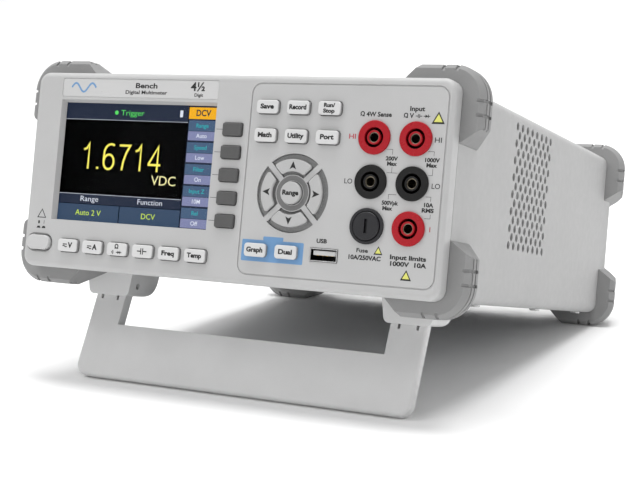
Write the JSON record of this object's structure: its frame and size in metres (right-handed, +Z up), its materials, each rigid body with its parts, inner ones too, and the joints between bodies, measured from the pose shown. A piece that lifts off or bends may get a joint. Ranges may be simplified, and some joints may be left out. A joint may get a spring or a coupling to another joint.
{
  "type": "bench multimeter",
  "caption": "Mains-powered bench multimeter with a colour display, push keys, shrouded test sockets, corner bumpers and a folding tilt handle under the front.",
  "frame": {"origin": "bottom centre of the whole instrument's box, standing on its handle and rear bumpers", "axes": "+Z up, +Y from the front face towards the rear, +X to the viewer's right"},
  "size_m": [0.235, 0.3066, 0.155],
  "materials": {
    "panel_plastic": "fine spark-eroded texture, warm light grey",
    "name_strip": "printed film",
    "window": "clear, slightly tinted",
    "display": "dark display face",
    "silicone": "moulded silicone",
    "circuit_board": "green solder mask",
    "painted_sheet": "fine textured powder coat",
    "zinc_sheet": "zinc-plated sheet",
    "steel": "bright plated",
    "red_plastic": "moulded insulator",
    "black_plastic": "moulded insulator",
    "plated_brass": "nickel-plated brass",
    "glass_tube": "glass tube with plated ends",
    "lamination": "varnished iron laminations",
    "bumper_rubber": "matt mid-grey moulded rubber",
    "soft_key_plastic": "dark grey silicone",
    "key_plastic": "pale grey silicone"
  },
  "bodies": {
    "chassis": {"front_panel": "panel_plastic", "name_plate": "name_strip", "display_window": "window", "lcd_module": "display", "keypad_mat": "silicone", "key_board": "circuit_board", "case_cover": "painted_sheet", "base_plate": "zinc_sheet", "rear_panel": "painted_sheet", "hinge_blocks": "panel_plastic", "hinge_pins": "steel", "jack_bodies_red": "red_plastic", "jack_bodies_black": "black_plastic", "jack_contacts": "plated_brass", "jack_nuts": "black_plastic", "fuse_holder": "black_plastic", "usb_host_port": "steel", "main_board": "circuit_board", "transformer": "lamination", "power_switch": "black_plastic", "mains_inlet": "black_plastic", "usb_device_port": "steel", "trigger_sockets": "plated_brass", "screws": "steel", "front_bumper_top_right": "bumper_rubber", "rear_bumper_top_right": "bumper_rubber", "front_bumper_top_left": "bumper_rubber", "rear_bumper_top_left": "bumper_rubber", "front_bumper_bottom_right": "bumper_rubber", "rear_bumper_bottom_right": "bumper_rubber", "front_bumper_bottom_left": "bumper_rubber", "rear_bumper_bottom_left": "bumper_rubber"},
    "handle": {"handle": "panel_plastic"},
    "save_key": {"save_key": "key_plastic"},
    "record_key": {"record_key": "key_plastic"},
    "run_stop_key": {"run_stop_key": "key_plastic"},
    "math_key": {"math_key": "key_plastic"},
    "utility_key": {"utility_key": "key_plastic"},
    "port_key": {"port_key": "key_plastic"},
    "graph_key": {"graph_key": "key_plastic"},
    "dual_key": {"dual_key": "key_plastic"},
    "voltage_key": {"voltage_key": "key_plastic"},
    "current_key": {"current_key": "key_plastic"},
    "resistance_key": {"resistance_key": "key_plastic"},
    "capacitance_key": {"capacitance_key": "key_plastic"},
    "frequency_key": {"frequency_key": "key_plastic"},
    "temperature_key": {"temperature_key": "key_plastic"},
    "soft_key_1": {"soft_key_1": "soft_key_plastic"},
    "soft_key_2": {"soft_key_2": "soft_key_plastic"},
    "soft_key_3": {"soft_key_3": "soft_key_plastic"},
    "soft_key_4": {"soft_key_4": "soft_key_plastic"},
    "soft_key_5": {"soft_key_5": "soft_key_plastic"},
    "up_key": {"up_key": "key_plastic"},
    "right_key": {"right_key": "key_plastic"},
    "down_key": {"down_key": "key_plastic"},
    "left_key": {"left_key": "key_plastic"},
    "range_key": {"range_key": "key_plastic"},
    "power_button": {"power_button": "key_plastic"},
    "fuse_carrier": {"fuse": "glass_tube"},
    "fuse_cap": {"fuse_cap": "black_plastic"}
  },
  "joints": [
    {"name": "handle_fold", "type": "hinge", "parent": "chassis", "child": "handle", "pos_m": [0, -0.11138, 0.04331], "axis": [1, 0, 0], "range_deg": [0, 100]},
    {"name": "save_press", "type": "slide", "parent": "chassis", "child": "save_key", "axis": [0, 0.9833, -0.1823], "range_m": [0, 0.001], "stiffness_N_per_m": 800},
    {"name": "record_press", "type": "slide", "parent": "chassis", "child": "record_key", "axis": [0, 0.9833, -0.1823], "range_m": [0, 0.001], "stiffness_N_per_m": 800},
    {"name": "run_stop_press", "type": "slide", "parent": "chassis", "child": "run_stop_key", "axis": [0, 0.9833, -0.1823], "range_m": [0, 0.001], "stiffness_N_per_m": 800},
    {"name": "math_press", "type": "slide", "parent": "chassis", "child": "math_key", "axis": [0, 0.9833, -0.1823], "range_m": [0, 0.001], "stiffness_N_per_m": 800},
    {"name": "utility_press", "type": "slide", "parent": "chassis", "child": "utility_key", "axis": [0, 0.9833, -0.1823], "range_m": [0, 0.001], "stiffness_N_per_m": 800},
    {"name": "port_press", "type": "slide", "parent": "chassis", "child": "port_key", "axis": [0, 0.9833, -0.1823], "range_m": [0, 0.001], "stiffness_N_per_m": 800},
    {"name": "graph_press", "type": "slide", "parent": "chassis", "child": "graph_key", "axis": [0, 0.9833, -0.1823], "range_m": [0, 0.001], "stiffness_N_per_m": 800},
    {"name": "dual_press", "type": "slide", "parent": "chassis", "child": "dual_key", "axis": [0, 0.9833, -0.1823], "range_m": [0, 0.001], "stiffness_N_per_m": 800},
    {"name": "voltage_press", "type": "slide", "parent": "chassis", "child": "voltage_key", "axis": [0, 0.9833, -0.1823], "range_m": [0, 0.001], "stiffness_N_per_m": 800},
    {"name": "current_press", "type": "slide", "parent": "chassis", "child": "current_key", "axis": [0, 0.9833, -0.1823], "range_m": [0, 0.001], "stiffness_N_per_m": 800},
    {"name": "resistance_press", "type": "slide", "parent": "chassis", "child": "resistance_key", "axis": [0, 0.9833, -0.1823], "range_m": [0, 0.001], "stiffness_N_per_m": 800},
    {"name": "capacitance_press", "type": "slide", "parent": "chassis", "child": "capacitance_key", "axis": [0, 0.9833, -0.1823], "range_m": [0, 0.001], "stiffness_N_per_m": 800},
    {"name": "frequency_press", "type": "slide", "parent": "chassis", "child": "frequency_key", "axis": [0, 0.9833, -0.1823], "range_m": [0, 0.001], "stiffness_N_per_m": 800},
    {"name": "temperature_press", "type": "slide", "parent": "chassis", "child": "temperature_key", "axis": [0, 0.9833, -0.1823], "range_m": [0, 0.001], "stiffness_N_per_m": 800},
    {"name": "soft_1_press", "type": "slide", "parent": "chassis", "child": "soft_key_1", "axis": [0, 0.9833, -0.1823], "range_m": [0, 0.001], "stiffness_N_per_m": 800},
    {"name": "soft_2_press", "type": "slide", "parent": "chassis", "child": "soft_key_2", "axis": [0, 0.9833, -0.1823], "range_m": [0, 0.001], "stiffness_N_per_m": 800},
    {"name": "soft_3_press", "type": "slide", "parent": "chassis", "child": "soft_key_3", "axis": [0, 0.9833, -0.1823], "range_m": [0, 0.001], "stiffness_N_per_m": 800},
    {"name": "soft_4_press", "type": "slide", "parent": "chassis", "child": "soft_key_4", "axis": [0, 0.9833, -0.1823], "range_m": [0, 0.001], "stiffness_N_per_m": 800},
    {"name": "soft_5_press", "type": "slide", "parent": "chassis", "child": "soft_key_5", "axis": [0, 0.9833, -0.1823], "range_m": [0, 0.001], "stiffness_N_per_m": 800},
    {"name": "up_press", "type": "slide", "parent": "chassis", "child": "up_key", "axis": [0, 0.9833, -0.1823], "range_m": [0, 0.001], "stiffness_N_per_m": 800},
    {"name": "right_press", "type": "slide", "parent": "chassis", "child": "right_key", "axis": [0, 0.9833, -0.1823], "range_m": [0, 0.001], "stiffness_N_per_m": 800},
    {"name": "down_press", "type": "slide", "parent": "chassis", "child": "down_key", "axis": [0, 0.9833, -0.1823], "range_m": [0, 0.001], "stiffness_N_per_m": 800},
    {"name": "left_press", "type": "slide", "parent": "chassis", "child": "left_key", "axis": [0, 0.9833, -0.1823], "range_m": [0, 0.001], "stiffness_N_per_m": 800},
    {"name": "range_press", "type": "slide", "parent": "chassis", "child": "range_key", "axis": [0, 0.9833, -0.1823], "range_m": [0, 0.001], "stiffness_N_per_m": 800},
    {"name": "power_press", "type": "slide", "parent": "chassis", "child": "power_button", "axis": [0, 0.9833, -0.1823], "range_m": [0, 0.002], "stiffness_N_per_m": 800},
    {"name": "fuse_pull", "type": "slide", "parent": "chassis", "child": "fuse_carrier", "axis": [0, -0.9833, 0.1823], "range_m": [0, 0.034]},
    {"name": "fuse_cap_turn", "type": "hinge", "parent": "fuse_carrier", "child": "fuse_cap", "pos_m": [0.0727, -0.14752, 0.08642], "axis": [0, -0.9833, 0.1823], "range_deg": [0, 45]}
  ]
}
